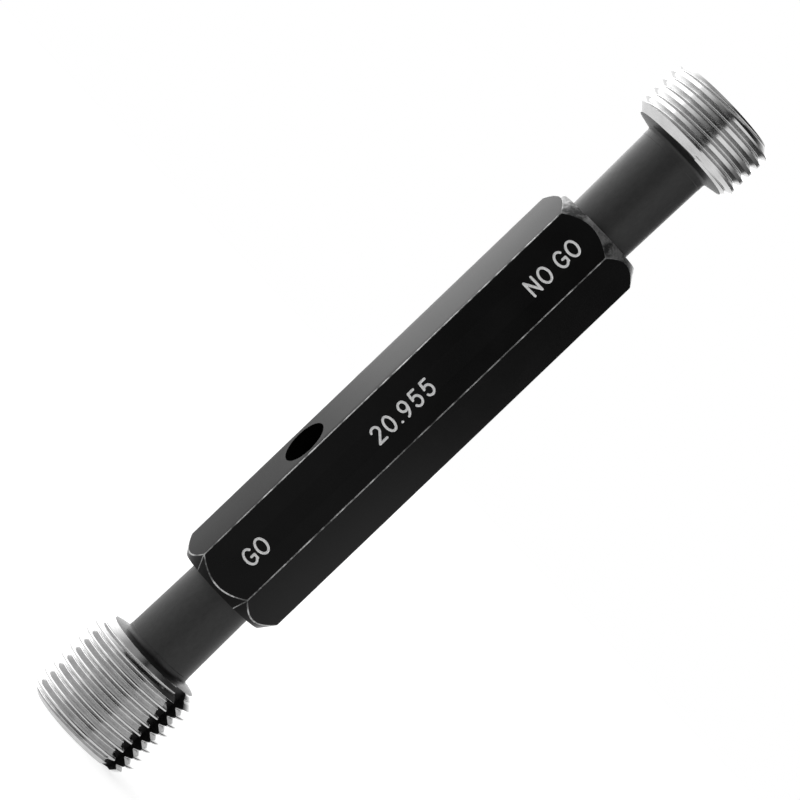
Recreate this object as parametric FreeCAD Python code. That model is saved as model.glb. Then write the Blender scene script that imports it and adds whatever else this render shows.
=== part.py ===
"""Double-ended thread plug gauge for G 1/2 pipe thread: a taper-lock handle with a GO and a NO-GO member.

The gauge stands on the front face of its GO member, and +Z runs up its axis to the NO-GO member.
Lengths are millimetres and angles are degrees. Angles about the axis are counted from +X towards +Y.
The handle has one flat facing -Y, which is the marked one.
"""
import FreeCAD
import Part
import math
import os

from FreeCAD import Vector

# --- The thread: 55 degree Whitworth form, right hand, 14 threads to the inch ---
thread_pitch = 25.4 / 14
thread_major_diameter = 20.955
thread_flank_angle = 27.5          # half of the form's 55 degrees
form_cut_off = 1 / 6               # share of the sharp V's height that is cut off at the crest
thread_tolerance = 0.03            # how closely the swept flanks follow the true helix
nogo_crest_diameter = 20.35        # the NO-GO crests are cut down, so that only the flanks bear

# --- The GO member ---
go_head_length = 17.0              # front face to where the back face meets the neck
go_neck_length = 14.3              # head to handle
go_shank_length = 20.5             # inside the handle
go_neck_diameter = 11.85           # of the taper, where it enters the handle
go_back_chamfer = 1.9              # radial width of the 45 degree chamfer behind the thread
go_thread_start_angle = 75.0

# --- The NO-GO member ---
nogo_head_length = 10.4
nogo_neck_length = 17.0
nogo_shank_length = 20.5
nogo_neck_diameter = 11.65
nogo_back_chamfer = 1.35
nogo_thread_start_angle = -19.0

# --- What both members share ---
taper_ratio = 1 / 32               # change of diameter for each unit of length
front_face_diameter = 17.9         # what the 45 degree chamfer before the thread leaves
back_face_slope = 14.0             # the back face falls away towards the neck
neck_chamfer = 0.6                 # 45 degree corner between the back face and the neck
shank_end_chamfer = 0.5
centre_hole_diameter = 3.6         # 60 degree lathe centre in the front face
centre_pilot_diameter = 1.5
centre_pilot_depth = 4.0

# --- The chip groove along the GO thread ---
chip_groove_width = 2.8
chip_groove_floor_radius = 8.2
chip_groove_angle = -30.0

# --- The handle ---
handle_length = 80.5
handle_across_flats = 17.0
handle_end_diameter = 16.0         # of the flat ring that the end chamfer leaves
handle_chamfer_angle = 35.0        # between the chamfer and the axis
socket_run_on = 1.5                # the taper sockets go this much deeper than the shanks
axial_bore_diameter = 8.0          # joins the two sockets, so that the NO-GO member can be driven out
drift_hole_diameter = 7.8
drift_hole_from_end = 25.3         # from the handle's GO end face
drift_hole_angle = -150.0          # square to the flat beside the marked one

# --- Worked out from the values above ---
thread_sharp_height = thread_pitch / 2 / math.tan(math.radians(thread_flank_angle))
thread_root_radius = thread_major_diameter / 2 - thread_sharp_height * (1 - form_cut_off)
go_crest_radius = thread_major_diameter / 2
nogo_crest_radius = nogo_crest_diameter / 2
handle_corner_radius = handle_across_flats / math.sqrt(3)
handle_bottom = go_head_length + go_neck_length
handle_top = handle_bottom + handle_length
total_length = handle_top + nogo_neck_length + nogo_head_length
AXIS = Vector(0, 0, 1)
ORIGIN = Vector(0, 0, 0)


def polar(radius, angle, height=0.0):
    """The point at this radius, angle about the axis and height."""
    turn = math.radians(angle)
    return Vector(radius * math.cos(turn), radius * math.sin(turn), height)


def revolved(outline):
    """Turn a closed outline of (radius, height) points about the axis."""
    points = [Vector(radius, 0, height) for radius, height in outline]
    return Part.Face(Part.makePolygon(points + points[:1])).revolve(ORIGIN, AXIS, 360)


def taper_radius(face_diameter, depth):
    """Radius of the locking taper at this depth inside the handle's end face, or outside if negative."""
    return face_diameter / 2 - depth * taper_ratio / 2


def thread_turn(start_angle):
    """The V cutter for one turn of the thread's groove, which starts at height zero."""
    outer_radius = go_crest_radius + thread_sharp_height * form_cut_off / 2
    half_width = (outer_radius - thread_root_radius) * math.tan(math.radians(thread_flank_angle))
    corners = [
        Vector(thread_root_radius, 0, 0),
        Vector(outer_radius, 0, -half_width),
        Vector(outer_radius, 0, half_width),
    ]
    helix = Part.makeHelix(thread_pitch, thread_pitch, thread_root_radius)
    sweep = Part.BRepOffsetAPI.MakePipeShell(Part.Wire(helix.Edges))
    sweep.setFrenetMode(True)
    sweep.setTolerance(thread_tolerance, thread_tolerance, thread_tolerance)
    sweep.add(Part.makePolygon(corners + corners[:1]))
    sweep.build()
    sweep.makeSolid()
    turn = sweep.shape()
    turn.rotate(ORIGIN, AXIS, start_angle)
    return turn


def cut_thread(body, length, start_angle):
    """Cut the groove turn by turn, from one turn before the front face to past the length."""
    turn = thread_turn(start_angle)
    for index in range(-1, math.ceil(length / thread_pitch) + 1):
        cutter = turn.copy()
        cutter.translate(AXIS * thread_pitch * index)
        body = body.cut(cutter)
    return body


def member(crest_radius, head_length, back_chamfer, neck_length, shank_length, neck_diameter, start_angle):
    """One gauging member, with its front face at height zero and its shank upwards."""
    handle_face = head_length + neck_length
    shank_end = handle_face + shank_length
    front_radius = front_face_diameter / 2
    back_radius = crest_radius - back_chamfer
    neck_radius = taper_radius(neck_diameter, neck_chamfer - neck_length)
    back_rise = (back_radius - neck_radius - neck_chamfer) * math.tan(math.radians(back_face_slope))
    back_edge = head_length - back_rise
    end_radius = taper_radius(neck_diameter, shank_length - shank_end_chamfer)
    centre_radius = centre_hole_diameter / 2
    pilot_radius = centre_pilot_diameter / 2
    centre_depth = (centre_radius - pilot_radius) / math.tan(math.radians(30))
    body = revolved([
        (0, centre_pilot_depth),
        (pilot_radius, centre_pilot_depth),
        (pilot_radius, centre_depth),
        (centre_radius, 0),
        (front_radius, 0),
        (crest_radius, crest_radius - front_radius),
        (crest_radius, back_edge - back_chamfer),
        (back_radius, back_edge),
        (neck_radius + neck_chamfer, head_length),
        (neck_radius, head_length + neck_chamfer),
        (end_radius, shank_end - shank_end_chamfer),
        (end_radius - shank_end_chamfer, shank_end),
        (0, shank_end),
    ])
    return cut_thread(body, head_length, start_angle)


def go_plug():
    """The GO member: full-form thread, with a groove along it that lets chips and dirt out."""
    plug = member(go_crest_radius, go_head_length, go_back_chamfer, go_neck_length, go_shank_length,
                  go_neck_diameter, go_thread_start_angle)
    groove = Part.makeBox(go_crest_radius, chip_groove_width, go_head_length)
    groove.translate(Vector(chip_groove_floor_radius, -chip_groove_width / 2, 0))
    groove.rotate(ORIGIN, AXIS, chip_groove_angle)
    return plug.cut(groove)


def nogo_plug():
    """The NO-GO member: a few turns with truncated crests, turned over onto the handle's far end."""
    plug = member(nogo_crest_radius, nogo_head_length, nogo_back_chamfer, nogo_neck_length,
                  nogo_shank_length, nogo_neck_diameter, nogo_thread_start_angle)
    plug.rotate(ORIGIN, Vector(1, 0, 0), 180)
    plug.translate(Vector(0, 0, total_length))
    return plug


def socket(face_diameter, shank_length):
    """The taper socket for a shank, opening at height zero and going up into the handle."""
    depth = shank_length + socket_run_on
    return Part.makeCone(taper_radius(face_diameter, 0), taper_radius(face_diameter, depth), depth)


def handle():
    """Hexagon bar with turned ends, a taper socket in each end and a drift hole across it."""
    corners = [polar(handle_corner_radius, 60 * index) for index in range(7)]
    bar = Part.Face(Part.makePolygon(corners)).extrude(AXIS * handle_length)
    end_radius = handle_end_diameter / 2
    chamfer_length = (handle_corner_radius - end_radius) / math.tan(math.radians(handle_chamfer_angle))
    turned = revolved([
        (0, 0),
        (end_radius, 0),
        (handle_corner_radius, chamfer_length),
        (handle_corner_radius, handle_length - chamfer_length),
        (end_radius, handle_length),
        (0, handle_length),
    ])
    bar = bar.common(turned)

    nogo_socket = socket(nogo_neck_diameter, nogo_shank_length)
    nogo_socket.rotate(ORIGIN, Vector(1, 0, 0), 180)
    nogo_socket.translate(Vector(0, 0, handle_length))
    axial_bore = Part.makeCylinder(axial_bore_diameter / 2, handle_length)
    drift_start = polar(-handle_across_flats, drift_hole_angle, drift_hole_from_end)
    drift_hole = Part.makeCylinder(drift_hole_diameter / 2, 2 * handle_across_flats, drift_start,
                                   polar(1, drift_hole_angle))
    for cutter in (socket(go_neck_diameter, go_shank_length), nogo_socket, axial_bore, drift_hole):
        bar = bar.cut(cutter)
    bar.translate(Vector(0, 0, handle_bottom))
    return bar


os.makedirs("parts", exist_ok=True)
for name, build in (("handle", handle), ("go_plug", go_plug), ("nogo_plug", nogo_plug)):
    shape = build()
    print(name, "solids", len(shape.Solids), "valid", shape.isValid(), "volume", round(shape.Volume, 1))
    shape.exportStep(f"parts/{name}.step")
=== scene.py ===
# %% [markdown]
# # A double-ended thread plug gauge
# The gauge has three real pieces: a blackened hexagon handle, a long GO plug and a short NO-GO plug.
# Each plug is one piece of tool steel: a ground thread, a dark neck, and a taper shank that locks in the
# handle. The CAD frame gives each piece its place. Here each one gets its finer shape and its finish.

# %% Load the frame
import bmesh
import bpy
import numpy as np
from mathutils import Matrix, Vector


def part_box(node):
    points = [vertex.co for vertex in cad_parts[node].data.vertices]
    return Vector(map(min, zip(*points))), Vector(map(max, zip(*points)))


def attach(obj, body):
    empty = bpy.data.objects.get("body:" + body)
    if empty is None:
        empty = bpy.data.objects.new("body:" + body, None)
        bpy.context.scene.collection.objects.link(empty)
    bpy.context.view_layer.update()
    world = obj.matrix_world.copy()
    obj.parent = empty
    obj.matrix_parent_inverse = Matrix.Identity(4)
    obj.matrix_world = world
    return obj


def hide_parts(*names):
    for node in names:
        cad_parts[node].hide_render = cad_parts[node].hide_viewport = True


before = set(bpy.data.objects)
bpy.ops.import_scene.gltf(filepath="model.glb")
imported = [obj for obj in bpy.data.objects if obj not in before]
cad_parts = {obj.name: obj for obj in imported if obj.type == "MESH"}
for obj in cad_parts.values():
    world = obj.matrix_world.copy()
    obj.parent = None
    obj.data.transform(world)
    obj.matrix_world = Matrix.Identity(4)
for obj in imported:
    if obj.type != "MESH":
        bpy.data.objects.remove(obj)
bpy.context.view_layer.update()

# %% [markdown]
# Everything below is worked out in millimetres, as on the shop drawing, and turned to metres in one place.
# The frame stands the gauge on the front face of its GO plug, with +Z up its axis.
# The ends of the three pieces come from the frame's own boxes, so nothing has to be fitted by eye.

# %% Sizes shared by the pieces
MM = 0.001
handle_low, handle_high = (corner.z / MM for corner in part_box("handle"))
nogo_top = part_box("nogo_plug")[1].z / MM
pitch = 25.4 / 14
major_radius = 20.955 / 2
nogo_crest_radius = 20.35 / 2
flank_slope = 1 / np.tan(np.radians(27.5))
sharp_height = pitch / 2 * flank_slope
sharp_crest_radius = major_radius + sharp_height / 6
front_radius = 17.9 / 2                                     # of both plugs' front faces
go_mouth_radius, nogo_mouth_radius = 11.85 / 2, 11.65 / 2   # of the tapers, at the handle's end faces
taper = 1 / 64                                              # radius lost for each mm into the handle
columns = 320
turn = np.linspace(0, 2 * np.pi, columns, endpoint=False)
print("handle from", round(handle_low, 2), "to", round(handle_high, 2), "top", round(nogo_top, 2))


# %% [markdown]
# Every piece starts as a grid of points. The rows run along the piece and the columns run round its axis.
# Rows that fall on one another leave faces with no area, so a merge by distance clears them away.
# The merge also draws a row that lies on the axis together into one point, which closes the piece's end.

# %% Grid to mesh
def quads(number, beside, loop=False):
    """Faces between each row of a grid and the next: a point, its neighbour, and the two points above them.

    number holds each point's index and beside its neighbour's. A loop joins the last row to the first.
    """
    count = len(number) if loop else len(number) - 1
    above, above_beside = (np.roll(grid, -1, axis=0)[:count] for grid in (number, beside))
    return np.stack([number[:count], beside[:count], above_beside, above], axis=-1).reshape(-1, 4).tolist()


def made(name, points, faces, groups=None, merge=0.0):
    """A new object from points in mm and faces, with material indices and a merge distance in metres."""
    mesh = bpy.data.meshes.new(name)
    mesh.from_pydata(points.reshape(-1, 3) * MM, [], faces)
    if groups is not None:
        mesh.polygons.foreach_set("material_index", groups.astype(np.int32))
    if merge:
        work = bmesh.new()
        work.from_mesh(mesh)
        bmesh.ops.remove_doubles(work, verts=work.verts, dist=merge)
        bmesh.ops.dissolve_degenerate(work, edges=work.edges, dist=merge)
        work.to_mesh(mesh)
        work.free()
    return bpy.data.objects.new(name, mesh)


def show(piece, *materials):
    """Put a piece in the scene and give it its material slots."""
    bpy.context.scene.collection.objects.link(piece)
    for material in materials:
        piece.data.materials.append(material)
    return piece


def shade(piece, angle):
    """Smooth faces, with a sharp edge wherever two faces meet at more than the angle in degrees."""
    piece.data.shade_smooth()
    piece.data.set_sharp_from_angle(angle=np.radians(angle))
    print(piece.name, "faces", len(piece.data.polygons))


merge_distance = 2e-7
print("points nearer than", merge_distance / MM, "mm are merged")


# %% [markdown]
# ## The thread
# The thread is the British pipe form: a V of 55 degrees whose height is 0.96 of the pitch.
# The GO plug has the full form, so its crests are round. The NO-GO plug has its crests ground flat, so
# that only its flanks bear. Both have a narrow round at the root.
# A bump in the finish could fake this, but the gauge's outline would stay smooth. A radius over one pitch
# says all of it, and the helix comes from sliding that profile along the axis as it turns.

# %% Thread profile
crest_round = 0.137329 * pitch
root_round = 0.12
flank_turn = np.radians(62.5)


def go_profile(offset):
    """Radius of the GO thread at this distance along the axis from a crest: round, straight flank, round."""
    away = np.abs((offset + pitch / 2) % pitch - pitch / 2)
    flank = sharp_crest_radius - away * flank_slope
    crest = major_radius - crest_round + np.sqrt(np.maximum(crest_round**2 - away**2, 0))
    from_root = pitch / 2 - away
    root_centre = sharp_crest_radius - sharp_height + root_round / np.cos(flank_turn)
    root = root_centre - np.sqrt(np.maximum(root_round**2 - from_root**2, 0))
    near_crest = away < crest_round * np.sin(flank_turn)
    near_root = from_root < root_round * np.sin(flank_turn)
    return np.where(near_crest, crest, np.where(near_root, root, flank))


def nogo_profile(offset):
    """The same flanks and roots, with the crests cut down to a flat."""
    return np.minimum(go_profile(offset), nogo_crest_radius)


probe = np.linspace(0, pitch / 2, 5)
print("GO radii from crest to root", np.round(go_profile(probe), 3))


# %% [markdown]
# The chamfers at a head's two ends are turned cones, so the metal that is left is the lesser of two radii:
# the thread's and the turned outline's. The grid needs points where the two cross, or the chamfer's edge
# would be ragged. The climb of each flank is sampled, and the crossing is read between two samples.

# %% Where the chamfers cut the thread
climb_samples = 65


def crossing(crest, side, profile, envelope):
    """Height where the thread, going from the root on this side to its crest, first meets the outline."""
    climb = np.linspace(0, pitch / 2, climb_samples)
    offset = side * (pitch / 2 - climb)
    gap = profile(offset) - envelope(crest[..., None] + offset)
    rises = (gap[..., :-1] < 0) & (gap[..., 1:] >= 0)
    first = rises.argmax(-1)[..., None]
    low, high = (np.take_along_axis(gap, first + k, -1)[..., 0] for k in (0, 1))
    share = low / np.where(low == high, -1, low - high)
    found = np.where(rises.any(-1), (first[..., 0] + share) * climb[1], pitch / 2)
    return crest + side * (pitch / 2 - np.where(gap[..., 0] >= 0, 0, found))


print("crossings are read between samples", round(pitch / 2 / (climb_samples - 1), 4), "mm apart")


# %% [markdown]
# A ring that is cut by a helix never closes on itself: after one turn every row has moved up by one tooth.
# So the last column is joined to the first one with a lead of one tooth's rows, as a screw is.
# The rows are the thread's own corners, the crossings, and the chamfers' edges.
# Sorting them by height in every column lets the grid follow all of those edges at once.

# %% Threaded rows
def threaded_rows(profile, offsets, crest_height, crest_angle, corners):
    """Points of a threaded head between two heights, as rows that climb and columns that go round.

    corners is the turned outline (height, radius). The radius is the lesser of that outline and the profile
    read at the height less the crest's height, which climbs by one pitch for each turn.
    Returns the points and the number of rows in one tooth.
    """
    heights, radii = np.array(corners).T
    low, high = heights[0], heights[-1]

    def envelope(height):
        return np.interp(height, heights, radii)

    lead = crest_height + pitch * (turn - np.radians(crest_angle)) / (2 * np.pi)
    first, last = (low - lead.min()) / pitch, (high - lead.min()) / pitch
    crest = lead + pitch * np.arange(np.floor(first) - 1, np.ceil(last) + 2)[:, None]
    rows = [crest + offset for offset in offsets]
    rows += [crossing(crest, side, profile, envelope) for side in (-1, 1)]
    rows = np.concatenate(rows + [np.tile(heights[:, None], (1, columns))])
    z = np.sort(np.clip(rows, low, high), axis=0)
    r = np.minimum(profile(z - lead), envelope(z))
    return np.stack([r * np.cos(turn), r * np.sin(turn), z], axis=-1), len(offsets) + 2


def turned_rows(outline):
    """Points of a turned surface: every (radius, height) of the outline carried round the axis."""
    r, z = np.array(outline, float).T[..., None]
    return np.stack([r * np.cos(turn), r * np.sin(turn), z + 0 * turn], axis=-1)


def plug(name, before, head, after, groups):
    """One plug as a closed skin: turned rows, threaded rows, turned rows. groups are their materials."""
    thread, tooth = head
    first, last = turned_rows(before), turned_rows(after)
    points = np.concatenate([first, thread, last])
    number = np.arange(points.shape[0] * columns).reshape(-1, columns)
    beside = np.roll(number, -1, axis=1)
    start, stop = len(first), len(first) + len(thread)
    beside[start:stop, -1] = number[np.minimum(np.arange(start, stop) + tooth, stop - 1), 0]
    row_groups = np.repeat(groups, (len(first), len(thread), len(last) - 1))
    print(name, "rows before, in and after the head", len(first), len(thread), len(last))
    return made(name, points, quads(number, beside), np.repeat(row_groups, columns), merge_distance)


# %% [markdown]
# ## Finishes
# Three finishes cover the gauge. The threads are ground bright. The necks and the chip groove keep the
# dark skin of hardening. The handle is blackened all over and shows bare steel where its edges rub.
# Wrapped images would need a map of every face and would blur close up. So each finish is made of noise
# read on object coordinates, and drawn out round the axis where a grinding wheel or a lathe ran.

# %% Nodes in one call
def new_material(name):
    """An empty material, its node tree and its main shader."""
    material = bpy.data.materials.new(name)
    material.use_nodes = True
    tree = material.node_tree
    return material, tree, tree.nodes["Principled BSDF"]


def add(tree, kind, inputs=None, **settings):
    """A node with its settings and its inputs, which are numbers, colours or other nodes' outputs."""
    node = tree.nodes.new(kind)
    for key, value in settings.items():
        setattr(node, key, value)
    for key, value in (inputs or {}).items():
        if isinstance(value, bpy.types.NodeSocket):
            tree.links.new(value, node.inputs[key])
        else:
            node.inputs[key].default_value = value
    return node


def maths(tree, operation, *values):
    """The output of one Math node."""
    return add(tree, "ShaderNodeMath", dict(enumerate(values)), operation=operation).outputs[0]


def ramp(tree, value, *stops):
    """A colour ramp's colour, with stops (position, grey)."""
    node = add(tree, "ShaderNodeValToRGB", {"Fac": value})
    for at, tone in stops[len(node.color_ramp.elements):]:
        node.color_ramp.elements.new(at)
    for element, (at, tone) in zip(node.color_ramp.elements, stops):
        element.position = at
        element.color = (tone, tone, tone, 1)
    return node.outputs["Color"]


def mixed(tree, share, first, second, **settings):
    """The colour of a Mix node: the first colour at share 0 and the second at share 1."""
    inputs = {0: share, 6: first, 7: second}
    return add(tree, "ShaderNodeMix", inputs, data_type="RGBA", **settings).outputs[2]


# %% [markdown]
# A turned or ground part is best described by its own coordinates: how far round, how far out, how far up.
# Noise stretched along the first of them gives lines that run round the piece, as a tool leaves them.

# %% Coordinates, noise and surface
def object_coordinates(tree):
    """The place on the piece in metres, which stays put when the piece moves."""
    return add(tree, "ShaderNodeTexCoord").outputs["Object"]


def round_the_axis(tree):
    """Place in mm: the angle as an arc of a circle of 10 mm radius, the radius, and the height."""
    split = add(tree, "ShaderNodeSeparateXYZ", {0: object_coordinates(tree)})
    x, y, z = (maths(tree, "MULTIPLY", split.outputs[k], 1000) for k in range(3))
    along = maths(tree, "MULTIPLY", maths(tree, "ARCTAN2", y, x), 10)
    squares = maths(tree, "ADD", maths(tree, "MULTIPLY", x, x), maths(tree, "MULTIPLY", y, y))
    return along, maths(tree, "SQRT", squares), z


def join(tree, x, y, z, stretch=None):
    """One vector from three values, the first of them first multiplied by stretch."""
    x = maths(tree, "MULTIPLY", x, stretch) if stretch else x
    return add(tree, "ShaderNodeCombineXYZ", {0: x, 1: y, 2: z}).outputs[0]


def noise(tree, vector, scale, detail=3.0, roughness=0.55):
    """Noise from 0 to 1 whose features are about one over scale across."""
    inputs = {"Vector": vector, "Scale": scale, "Detail": detail, "Roughness": roughness}
    return add(tree, "ShaderNodeTexNoise", inputs).outputs["Fac"]


def weighted(tree, first, second, share):
    """The sum of two values, share of the first and the rest of the second."""
    parts = [maths(tree, "MULTIPLY", value, part) for value, part in ((first, share), (second, 1 - share))]
    return maths(tree, "ADD", *parts)


def surface(tree, shader, value, smooth, rough, height, strength, depth):
    """Roughness between smooth and rough with a value, and a bump of this depth in metres."""
    spread = add(tree, "ShaderNodeMapRange", {"Value": value, "To Min": smooth, "To Max": rough})
    tree.links.new(spread.outputs[0], shader.inputs["Roughness"])
    bump = add(tree, "ShaderNodeBump", {"Height": height, "Strength": strength, "Distance": depth})
    tree.links.new(bump.outputs[0], shader.inputs["Normal"])


# %% [markdown]
# A ground thread is bright but not a mirror, because the wheel leaves fine lines along each groove.
# The lines change the tone and the roughness together, so that a reflection breaks up along them.

# %% Ground steel, for the threads and their chamfers
def ground_steel():
    """Bright steel: fine lines along the grinding direction, and slow changes of tone along the thread."""
    material, tree, shader = new_material("ground_steel")
    around, radius, z = round_the_axis(tree)
    lines = noise(tree, join(tree, around, radius, z, stretch=0.06), 14, 4, 0.6)
    clouds = noise(tree, join(tree, around, radius, z), 0.35, 2)
    tone = weighted(tree, lines, clouds, 0.6)
    tree.links.new(ramp(tree, tone, (0.3, 0.44), (0.7, 0.62)), shader.inputs["Base Color"])
    shader.inputs["Metallic"].default_value = 1.0
    surface(tree, shader, lines, 0.10, 0.20, lines, 0.25, 0.00002)
    return material


steel = ground_steel()
print("finish", steel.name)


# %% [markdown]
# Hardening leaves a thin dark skin on steel. It is satin and mottled, so it is a dark colour under a weak
# gloss, and not a metal. The lathe's lines show through it faintly.

# %% Dark skin of hardened steel, for the necks and the chip groove
def dark_steel():
    """Dark satin skin: mottling of about 0.2 mm and larger blotches, over faint lines round the axis."""
    material, tree, shader = new_material("dark_steel")
    around, radius, z = round_the_axis(tree)
    at = join(tree, around, radius, z)
    fine = noise(tree, at, 5.0, 4, 0.7)
    blotch = noise(tree, at, 0.8, 3)
    turned = noise(tree, join(tree, around, radius, z, stretch=0.08), 6, 2)
    tone = weighted(tree, fine, blotch, 0.5)
    tree.links.new(ramp(tree, tone, (0.3, 0.004), (0.7, 0.018)), shader.inputs["Base Color"])
    shader.inputs["Specular IOR Level"].default_value = 0.4
    surface(tree, shader, fine, 0.36, 0.50, maths(tree, "ADD", fine, turned), 0.35, 0.00004)
    return material


dark = dark_steel()
print("finish", dark.name)


# %% [markdown]
# The handle is blackened in a hot salt bath. Its edges rub through to the steel in patches, so they get a
# finish of their own, in which one noise decides both the colour and how metallic the spot is.
# The marks are cut through the black and show pale, matt metal.

# %% Blackened steel, for the handle and its marks
def black_steel():
    """A black oxide skin: nearly black, satin, with a very fine grain."""
    material, tree, shader = new_material("black_steel")
    at = object_coordinates(tree)
    grain = noise(tree, at, 3000, 3, 0.6)
    smudge = noise(tree, at, 140, 4)
    tree.links.new(ramp(tree, smudge, (0.35, 0.002), (0.75, 0.004)), shader.inputs["Base Color"])
    shader.inputs["Specular IOR Level"].default_value = 0.08
    surface(tree, shader, smudge, 0.20, 0.28, grain, 0.15, 0.00002)
    return material


def worn_edge():
    """The same skin, rubbed through to bare steel in patches along an edge."""
    material, tree, shader = new_material("worn_edge")
    rub = ramp(tree, noise(tree, object_coordinates(tree), 420, 4, 0.65), (0.38, 0), (0.62, 1))
    colour = mixed(tree, rub, (0.01, 0.01, 0.01, 1), (0.4, 0.4, 0.4, 1))
    tree.links.new(colour, shader.inputs["Base Color"])
    tree.links.new(rub, shader.inputs["Metallic"])
    shader.inputs["Roughness"].default_value = 0.34
    return material


def bare_groove():
    """The floor of the engraved marks: pale bare steel, matt from the cutter."""
    material, tree, shader = new_material("bare_groove")
    speck = noise(tree, object_coordinates(tree), 2500, 3)
    tree.links.new(ramp(tree, speck, (0.3, 0.82), (0.7, 0.94)), shader.inputs["Base Color"])
    shader.inputs["Roughness"].default_value = 0.6
    return material


black, worn, bare = black_steel(), worn_edge(), bare_groove()
print("finishes", black.name, worn.name, bare.name)


# %% [markdown]
# ## Cuts
# The chip groove, the drift hole and the marks are cut out of finished pieces, as they are in the shop.
# Weaving them into the grids would tangle the rows, and a boolean gives the same crisp edge. It also carries
# the cutter's own finish onto the new faces.

# %% Cut one mesh out of another
def cut(piece, cutter, material):
    """Cut one mesh out of another for good. The new faces take the cutter's material."""
    work = bmesh.new()
    work.from_mesh(cutter.data)
    bmesh.ops.recalc_face_normals(work, faces=work.faces)
    work.to_mesh(cutter.data)
    work.free()
    show(cutter, material)
    modifier = piece.modifiers.new("cut", "BOOLEAN")
    modifier.operation, modifier.object, modifier.solver = "DIFFERENCE", cutter, "EXACT"
    modifier.material_mode = "TRANSFER"
    result = bpy.data.meshes.new_from_object(piece.evaluated_get(bpy.context.evaluated_depsgraph_get()))
    piece.modifiers.clear()
    piece.data = result
    bpy.data.objects.remove(cutter)


# %% [markdown]
# ## The plugs' common details
# Both plugs have a centre hole for the grinder, a back face that slopes a little towards the neck, a small
# fillet where the two meet, a fine step where the grinding stopped, and a shank that fits the handle.
# A row of points close to an edge keeps the shading on its two sides apart.

# %% Details of both plugs
def fillet(radius_in, height, direction, radius, steps=6):
    """A quarter round from a face at this height to a cylinder, as (radius, height) pairs."""
    a = np.linspace(0, np.pi / 2, steps)
    r = radius_in + radius * (1 - np.sin(a))
    return list(zip(r, height + direction * radius * (1 - np.cos(a))))


edge_inset, edge_drop = 0.05, 0.012
countersink_radius, countersink_depth, pilot_radius, pilot_depth = 1.8, 1.819, 0.75, 4.0
centre_hole = [(0, pilot_depth), (pilot_radius, pilot_depth), (pilot_radius, countersink_depth),
               (countersink_radius, 0), (front_radius - edge_inset, 0)]
arc_steps = np.sin(np.radians(np.linspace(-62.5, 62.5, 7)))
root_steps = pitch / 2 - root_round * np.sin(np.radians([62.5, 31.0, 0.0]))
root_offsets = [*root_steps, *(-root_steps[:2])]
flank_middle = pitch / 4
crest_angle = 188.8                      # a crest passes here at the height that each plug gives
face_fall = np.tan(np.radians(14))
neck_round, neck_step, neck_undercut, step_length = 0.6, 0.03, 0.01, 0.05
shank_straight, shank_chamfer = 20, 0.5
shank = shank_straight + shank_chamfer
sharp_angle = 32
print("root offsets from a crest", np.round(root_offsets, 3))

# %% [markdown]
# ## The GO plug
# The GO plug is long, so that it checks the whole thread. Its outline is a list of corners from the centre
# hole to the end of the shank, and only the head between them is threaded.

# %% GO plug
go_offsets = [*(crest_round * arc_steps), *root_offsets, flank_middle, -flank_middle]
go_head, go_back_chamfer = 17.0, 1.9
go_back_radius = major_radius - go_back_chamfer
go_neck_radius = go_mouth_radius + (handle_low - go_head - neck_round) * taper
go_back_edge = go_head - (go_back_radius - go_neck_radius - neck_round) * face_fall
go_corners = [(0, front_radius), (major_radius - front_radius, major_radius),
              (go_back_edge - go_back_chamfer, major_radius), (go_back_edge, go_back_radius)]
go_step_radius, go_step = go_neck_radius + neck_step, go_head + 0.95
go_shank_radius = go_mouth_radius - shank_straight * taper
go_after = [(go_back_radius - edge_inset, go_back_edge + edge_drop),
            *fillet(go_step_radius, go_head - edge_inset, 1, neck_round),
            (go_step_radius, go_step), (go_neck_radius - neck_undercut, go_step + step_length),
            (go_mouth_radius, handle_low), (go_shank_radius, handle_low + shank_straight),
            (go_shank_radius - shank_chamfer, handle_low + shank), (0, handle_low + shank)]
go_head_rows = threaded_rows(go_profile, go_offsets, 1.48, crest_angle, go_corners)
go_plug = show(plug("go_plug_ground", centre_hole, go_head_rows, go_after, (0, 0, 1)), steel, dark)

# %% [markdown]
# A chip groove runs along the head, to let dirt out. It is milled before hardening, so its floor and walls
# stay dark. A box that is longer than the head cuts it.

# %% Chip groove
groove_half, groove_floor, groove_outside, groove_angle = 1.4, 8.2, 12.0, np.radians(-30)
x, y, z = np.meshgrid([groove_floor, groove_outside], [-groove_half, groove_half],
                      [-1.0, go_head + 1.0], indexing="ij")
groove = np.stack([x * np.cos(groove_angle) - y * np.sin(groove_angle),
                   x * np.sin(groove_angle) + y * np.cos(groove_angle), z], -1)
box_faces = [(0, 1, 3, 2), (4, 6, 7, 5), (0, 4, 5, 1), (2, 3, 7, 6), (0, 2, 6, 4), (1, 5, 7, 3)]
cut(go_plug, made("groove_cutter", groove, box_faces), dark)
shade(go_plug, sharp_angle)

# %% [markdown]
# ## The NO-GO plug
# The NO-GO plug must stop in a good thread within a turn or two, so a few teeth are enough for it.
# It is made of the same rows. It stands the other way up, so it starts with its shank and ends with its face.

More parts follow.
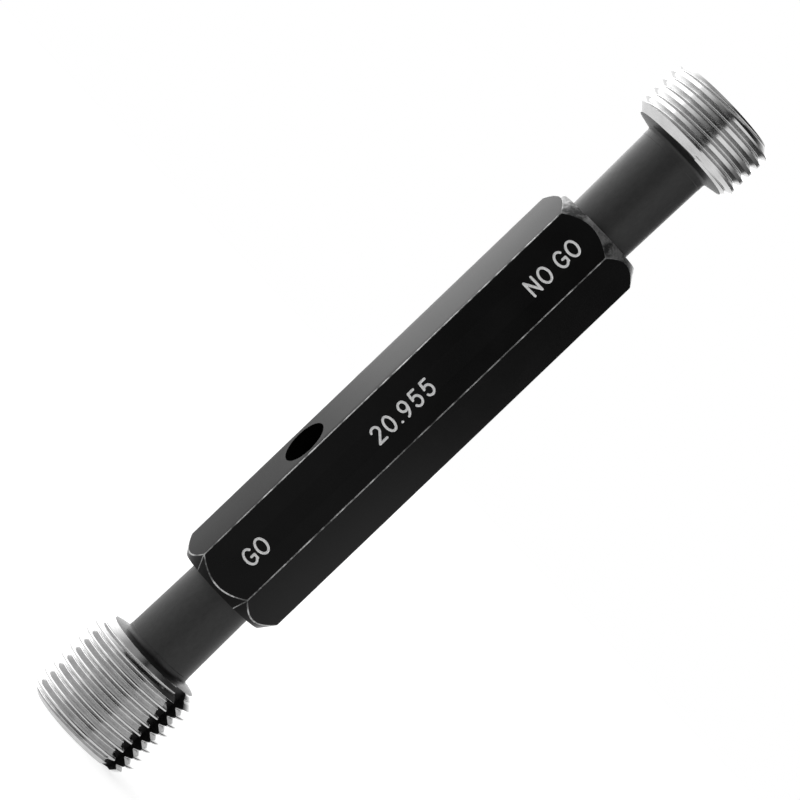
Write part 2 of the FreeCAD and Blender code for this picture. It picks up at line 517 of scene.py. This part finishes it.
# %% NO-GO plug
flat_half = (sharp_crest_radius - nogo_crest_radius) / flank_slope
nogo_offsets = [-flat_half, -flat_half / 2, 0, flat_half / 2, flat_half, *root_offsets,
                flank_middle + 0.1, -flank_middle - 0.1]
nogo_back, nogo_back_chamfer = nogo_top - 10.4, 1.35
nogo_back_radius = nogo_crest_radius - nogo_back_chamfer
nogo_neck_radius = nogo_mouth_radius + (nogo_back - handle_high - neck_round) * taper
nogo_back_edge = nogo_back + (nogo_back_radius - nogo_neck_radius - neck_round) * face_fall
nogo_corners = [(nogo_back_edge, nogo_back_radius), (nogo_back_edge + nogo_back_chamfer, nogo_crest_radius),
                (nogo_top - nogo_crest_radius + front_radius, nogo_crest_radius), (nogo_top, front_radius)]
nogo_step_radius, nogo_step = nogo_neck_radius + neck_step, nogo_back - 1.5
nogo_shank_radius = nogo_mouth_radius - shank_straight * taper
nogo_before = [(0, handle_high - shank), (nogo_shank_radius - shank_chamfer, handle_high - shank),
               (nogo_shank_radius, handle_high - shank_straight), (nogo_mouth_radius, handle_high),
               (nogo_neck_radius - neck_undercut, nogo_step), (nogo_step_radius, nogo_step + step_length),
               *fillet(nogo_step_radius, nogo_back + edge_inset, -1, neck_round)[::-1],
               (nogo_back_radius - edge_inset, nogo_back_edge - edge_drop)]
nogo_after = [(r, nogo_top - z) for r, z in centre_hole[::-1]]
nogo_head_rows = threaded_rows(nogo_profile, nogo_offsets, 131.89, crest_angle, nogo_corners)
nogo_plug = show(plug("nogo_plug_ground", nogo_before, nogo_head_rows, nogo_after, (1, 0, 0)), steel, dark)
shade(nogo_plug, sharp_angle)


# %% [markdown]
# ## The handle
# The handle is hexagon bar, turned at both ends. Where a cone meets a flat it leaves a curve, so the grid's
# rows follow it: in each column the chamfer ends at the height where the cone is as wide as the hexagon.
# The six long edges get a small round, because a dead sharp edge catches no light.

# %% The bar's section
half, end_radius, chamfer_slope = 17.0 / 2, 8.0, np.tan(np.radians(35))
edge_round, edge_points, flat_points = 0.22, 7, 20
edge_centre = (half - edge_round) / np.cos(np.pi / 6)
edge_span = np.arctan(edge_round * 0.5 / (edge_centre + edge_round * np.cos(np.pi / 6)))
sector = np.concatenate([np.linspace(-edge_span, edge_span, edge_points),
                         np.linspace(edge_span, np.pi / 3 - edge_span, flat_points)[1:-1]])
hex_turn = (sector + np.pi / 3 * np.arange(6)[:, None]).ravel()


def hexagon(angle):
    """Radius of the bar: half the width over the cosine from a flat's middle, or the rounded edge's arc."""
    from_edge = (angle + np.pi / 6) % (np.pi / 3) - np.pi / 6
    flat = half / np.cos(np.pi / 6 - np.abs(from_edge))
    inside = np.maximum(edge_round**2 - (edge_centre * np.sin(from_edge))**2, 0)
    edge = edge_centre * np.cos(from_edge) + np.sqrt(inside)
    return np.where(np.abs(from_edge) < edge_span, edge, flat)


print("bar radius from", round(hexagon(hex_turn).min(), 3), "to", round(hexagon(hex_turn).max(), 3))


# %% [markdown]
# The handle is a tube: up its outside, across the end, and down through a taper socket, the bore and the
# other socket. The last row joins the first, so the skin is closed without any caps.
# The worn finish goes on the long edges, on the bands where the chamfers end, and on the upper cone.

# %% Handle
def handle_rows():
    """Radii and heights of the handle's grid: up the outside, then down through the sockets and the bore.

    Between chamfer and flat, a parabola leaves the cone at step -1 and reaches the flat at step +1.
    """
    bar = hexagon(hex_turn)
    curve = (bar - end_radius) / chamfer_slope
    ring = np.ones_like(bar)
    length = handle_high - handle_low
    soft, socket, bore = 0.12, 22, 4.0
    outside = [(end_radius * ring, 0 * ring)]
    for step in (-1.0, -0.5, 0.0, 0.5, 1.0):
        sag = chamfer_slope * soft * (1 - step) ** 2 / 4
        outside.append((bar - sag, curve + soft * step))
    outside += [(r, length - z) for r, z in outside[::-1]]
    inside = [(nogo_mouth_radius, length), (nogo_mouth_radius - socket * taper, length - socket),
              (bore, length - socket), (bore, socket), (go_mouth_radius - socket * taper, socket),
              (go_mouth_radius, 0)]
    return np.array(outside + [(r * ring, z * ring) for r, z in inside]).swapaxes(0, 1)


r, z = handle_rows()
points = np.stack([r * np.cos(hex_turn), r * np.sin(hex_turn), z + handle_low], axis=-1)
number = np.arange(r.size).reshape(r.shape)
rubbed = np.zeros(r.shape)
rubbed[1:5] = 1                          # the soft band above the lower chamfer
rubbed[7:11] = 1                         # the upper cone, and its soft band but for the first row
rubbed[:11, np.tile(np.arange(len(sector)) < edge_points - 1, 6)] = 1
handle_faces = quads(number, np.roll(number, -1, axis=1), loop=True)
handle = show(made("handle_black", points, handle_faces, rubbed.ravel(), merge_distance), black, worn)
print("share of the handle's grid with the worn finish", round(rubbed.mean(), 3))

# %% [markdown]
# A drift pushed through a cross hole knocks a worn plug out of its taper. The hole is drilled before
# blackening, so its wall is black too. A cylinder longer than the bar is wide cuts both of its mouths.

# %% Drift hole
drift_radius, drift_height, drift_angle = 3.9, handle_low + 25.3, np.radians(-150)
around = np.linspace(0, 2 * np.pi, 96, endpoint=False)
along = np.array([-12.0, 12.0])[:, None]
aside, upwards = drift_radius * np.cos(around), drift_radius * np.sin(around)
drift = np.stack([along * np.cos(drift_angle) - aside * np.sin(drift_angle),
                  along * np.sin(drift_angle) + aside * np.cos(drift_angle),
                  drift_height + upwards + 0 * along], -1)
near = np.arange(len(around))
far = near + len(near)
wall = np.stack([far, np.roll(far, -1), np.roll(near, -1), near], -1).tolist()
cut(handle, made("drift_cutter", drift, wall + [near.tolist(), far[::-1].tolist()]), black)
print("drift hole", 2 * drift_radius, "mm wide at height", round(drift_height, 2))


# %% [markdown]
# ## The marks
# The flat that faces the user is engraved with plain marks: GO, NO GO and the thread's diameter in mm.
# A font would give letters with thick and thin parts and square ends. An engraver's round cutter leaves
# grooves of one width with round ends, so each letter is a few lines for the cutter to follow.

# %% Letters as lines, one unit high
def arc(x, y, half_width, half_height, start, stop, count=20):
    """Points of an ellipse's arc between two angles in degrees."""
    a = np.radians(np.linspace(start, stop, count))
    return np.stack([x + half_width * np.cos(a), y + half_height * np.sin(a)], -1)


strokes = {
    "G": [arc(0.33, 0.5, 0.33, 0.5, 42, 318), [(0.38, 0.44), (0.62, 0.44)], [(0.62, 0.44), (0.62, 0.14)]],
    "O": [arc(0.33, 0.5, 0.33, 0.5, 0, 360, 33)],
    "N": [[(0, 0), (0, 1)], [(0, 1), (0.58, 0)], [(0.58, 0), (0.58, 1)]],
    "0": [arc(0.28, 0.5, 0.28, 0.5, 0, 360, 33)],
    "2": [np.concatenate([arc(0.28, 0.73, 0.26, 0.27, 165, -35), [(0.0, 0.0)]]), [(0, 0), (0.56, 0)]],
    "5": [[(0.5, 1), (0.1, 1)], [(0.1, 1), (0.05, 0.52)], arc(0.26, 0.33, 0.28, 0.33, 138, -150)],
    "9": [arc(0.28, 0.69, 0.26, 0.31, 0, 360, 33), arc(0.04, 0.69, 0.5, 0.72, -2, -72)],
    ".": [[(0.0, 0.03), (0.02, 0.03)]],
    " ": [],
}
narrow_advance = {".": 0.32, " ": 0.4}
letter_advance, letter_gap = 0.92, 0.3
letter_height, stroke_half, stroke_depth, stroke_sides = 2.6, 0.2, 0.12, 10
print("letters", letter_height, "mm high, lines", 2 * stroke_half, "mm wide")


# %% [markdown]
# A line becomes a tube, half sunk in the flat, and the tube is cut out of the handle. The cut is a groove
# with a round floor, and it catches the light as a real one does, which painted letters would not.

# %% A tube along a line
def stroke_tube(path, across, along):
    """A tube round a path on the flat: an ellipse carried along it, shrinking to a point at each round end.

    The path's first axis runs up the gauge from the height along. Its second runs towards -X from across.
    """
    path = np.asarray(path, float) * letter_height
    closed = np.allclose(path[0], path[-1])
    if closed:
        path = path[:-1]
        way = np.roll(path, -1, 0) - np.roll(path, 1, 0)
        width = np.ones(len(path))
    else:
        way = np.gradient(path, axis=0)
        cap = np.radians([90, 60, 30])
        ends = [path[k] + sign * stroke_half * np.sin(cap)[:, None] * way[k] / np.linalg.norm(way[k])
                for k, sign in ((0, -1), (-1, 1))]
        width = np.concatenate([np.cos(cap), np.ones(len(path)), np.cos(cap)[::-1]])
        way = np.concatenate([way[:1]] * 3 + [way] + [way[-1:]] * 3)
        path = np.concatenate([ends[0], path, ends[1][::-1]])
    way /= np.linalg.norm(way, axis=1)[:, None]
    normal = np.stack([-way[:, 1], way[:, 0]], -1)
    a = np.linspace(0, 2 * np.pi, stroke_sides, endpoint=False)
    flat = path[:, None] + normal[:, None] * (stroke_half * width[:, None] * np.cos(a))[..., None]
    deep = stroke_depth * width[:, None] * np.sin(a) - half
    points = np.stack([across - flat[..., 1], deep, along + flat[..., 0]], -1)
    number = np.arange(points.shape[0] * stroke_sides).reshape(-1, stroke_sides)
    return made("stroke", points, quads(number, np.roll(number, -1, 1), loop=closed), merge=1e-8)


# %% Engraved marks
def engrave(text, middle, offset=0.3):
    """Cut a line of text into the flat at y = -half, reading up the axis, with its middle at this height."""
    steps = [narrow_advance.get(letter, letter_advance) for letter in text]
    start = middle - letter_height * (sum(steps) - letter_gap) / 2
    for letter, step in zip(text, steps):
        for path in strokes[letter]:
            cut(handle, stroke_tube(path, offset + letter_height / 2, start), bare)
        start += step * letter_height
    print("engraved", text, "at", middle)


engrave("GO", 39.9)
engrave("20.955", 71.0)
engrave("NO GO", 102.5)
shade(handle, 30)

# %% [markdown]
# The gauge has no moving parts, so its three pieces ride on one body. Each one stands for its CAD solid,
# which stays behind it for collisions.

# %% Ride on the frame
for piece, node in ((go_plug, "go_plug"), (nogo_plug, "nogo_plug"), (handle, "handle")):
    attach(piece, "root")
    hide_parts(node)
    print(piece.name, "stands for", node)

# %% [markdown]
# ## The studio
# The gauge stands on a pale floor that catches its shadow. A floor bright enough to look white would need
# so much light that the steel would burn out. So its paint glows, but only for the rays that look at it.

# %% Floor
floor_half, floor_glow, floor_paint = 3.0, 0.75, (0.6, 0.6, 0.6, 1)
floor_mesh = bpy.data.meshes.new("floor")
floor_corners = [(-floor_half, -floor_half, 0), (floor_half, -floor_half, 0),
                 (floor_half, floor_half, 0), (-floor_half, floor_half, 0)]
floor_mesh.from_pydata(floor_corners, [], [(0, 1, 2, 3)])
floor_material, tree, shader = new_material("floor")
tree.nodes.remove(shader)
ray = add(tree, "ShaderNodeLightPath").outputs
bounced = maths(tree, "MAXIMUM", ray["Is Glossy Ray"], ray["Is Transmission Ray"])
seen = maths(tree, "MAXIMUM", ray["Is Camera Ray"], bounced)
glow_strength = maths(tree, "MULTIPLY", seen, floor_glow)
glow = add(tree, "ShaderNodeEmission", {"Color": (1, 1, 1, 1), "Strength": glow_strength})
paint = add(tree, "ShaderNodeBsdfDiffuse", {"Color": floor_paint})
both = add(tree, "ShaderNodeAddShader", {0: glow.outputs[0], 1: paint.outputs[0]})
tree.links.new(both.outputs[0], tree.nodes["Material Output"].inputs["Surface"])
floor = show(bpy.data.objects.new("floor", floor_mesh), floor_material)
print("floor", 2 * floor_half, "m wide")

# %% [markdown]
# Bright round steel shows nothing but its surroundings, so the room decides how it looks.
# A soft box stands on the left, a paler card on the right, and a dark gap lies between them by the camera.
# Lamps could do this, but a room painted by bearing gives edges that run straight along the gauge.

# %% World
room_strength = 3.6
world = bpy.data.worlds.new("studio")
bpy.context.scene.world = world
world.use_nodes = True
tree = world.node_tree
tree.nodes.clear()
seen = add(tree, "ShaderNodeLightPath").outputs["Is Camera Ray"]
direction = add(tree, "ShaderNodeSeparateXYZ", {0: add(tree, "ShaderNodeTexCoord").outputs["Generated"]})
bearing = maths(tree, "ARCTAN2", direction.outputs[0], maths(tree, "MULTIPLY", direction.outputs[1], -1))
bearing = maths(tree, "DIVIDE", maths(tree, "ADD", bearing, np.pi), 2 * np.pi)

left_box = [(-100, 1.0), (-90, 0.75), (-55, 0.75), (-52, 0.36), (-30, 0.28), (-8, 0.10)]
dark_gap = [(10, 0.05), (15, 0.015), (29, 0.015)]
right_card = [(33, 0.34), (75, 0.30), (105, 0.07), (150, 0.03)]
cards = [((degrees + 180) / 360, tone) for degrees, tone in left_box + dark_gap + right_card]
bands = ramp(tree, bearing, (0.0, 0.8), *cards, (1.0, 0.8))
rise = ramp(tree, maths(tree, "ABSOLUTE", direction.outputs[2]), (0.25, 1.0), (0.85, 0.15))
room = mixed(tree, 1.0, bands, rise, blend_type="MULTIPLY")
shown = mixed(tree, seen, room, (1, 1, 1, 1))
strength = maths(tree, "SUBTRACT", room_strength, maths(tree, "MULTIPLY", seen, room_strength - 1))
light = add(tree, "ShaderNodeBackground", {"Color": shown, "Strength": strength})
add(tree, "ShaderNodeOutputWorld", {"Surface": light.outputs[0]})
print("room strength", room_strength, "with", len(cards) + 2, "stops round it")

# %% [markdown]
# The camera looks at the marked flat from a little to its right, rolled so that the gauge lies across the
# frame from corner to corner. Its lens is long, so that the two ends keep nearly the same scale.

# %% Camera
spot = Vector((66.2, -492.9, 80.3))
forward = Vector((-0.1378, 0.9903, -0.0174)).normalized()
right_axis = Vector((0.71795, 0.08444, -0.69095)).cross(forward).normalized()
down_axis = forward.cross(right_axis).normalized()
camera_data = bpy.data.cameras.new("camera")
camera_data.lens = 144.4725
camera_data.clip_start, camera_data.clip_end = 0.01, 20
camera = show(bpy.data.objects.new("camera", camera_data))
looking = Matrix((right_axis, -down_axis, -forward)).transposed().to_4x4()
camera.matrix_world = Matrix.Translation(spot * MM) @ looking
bpy.context.scene.camera = camera
bpy.context.scene.view_settings.view_transform = "Standard"
print("camera axes", [round(v, 4) for v in right_axis], [round(v, 4) for v in down_axis])
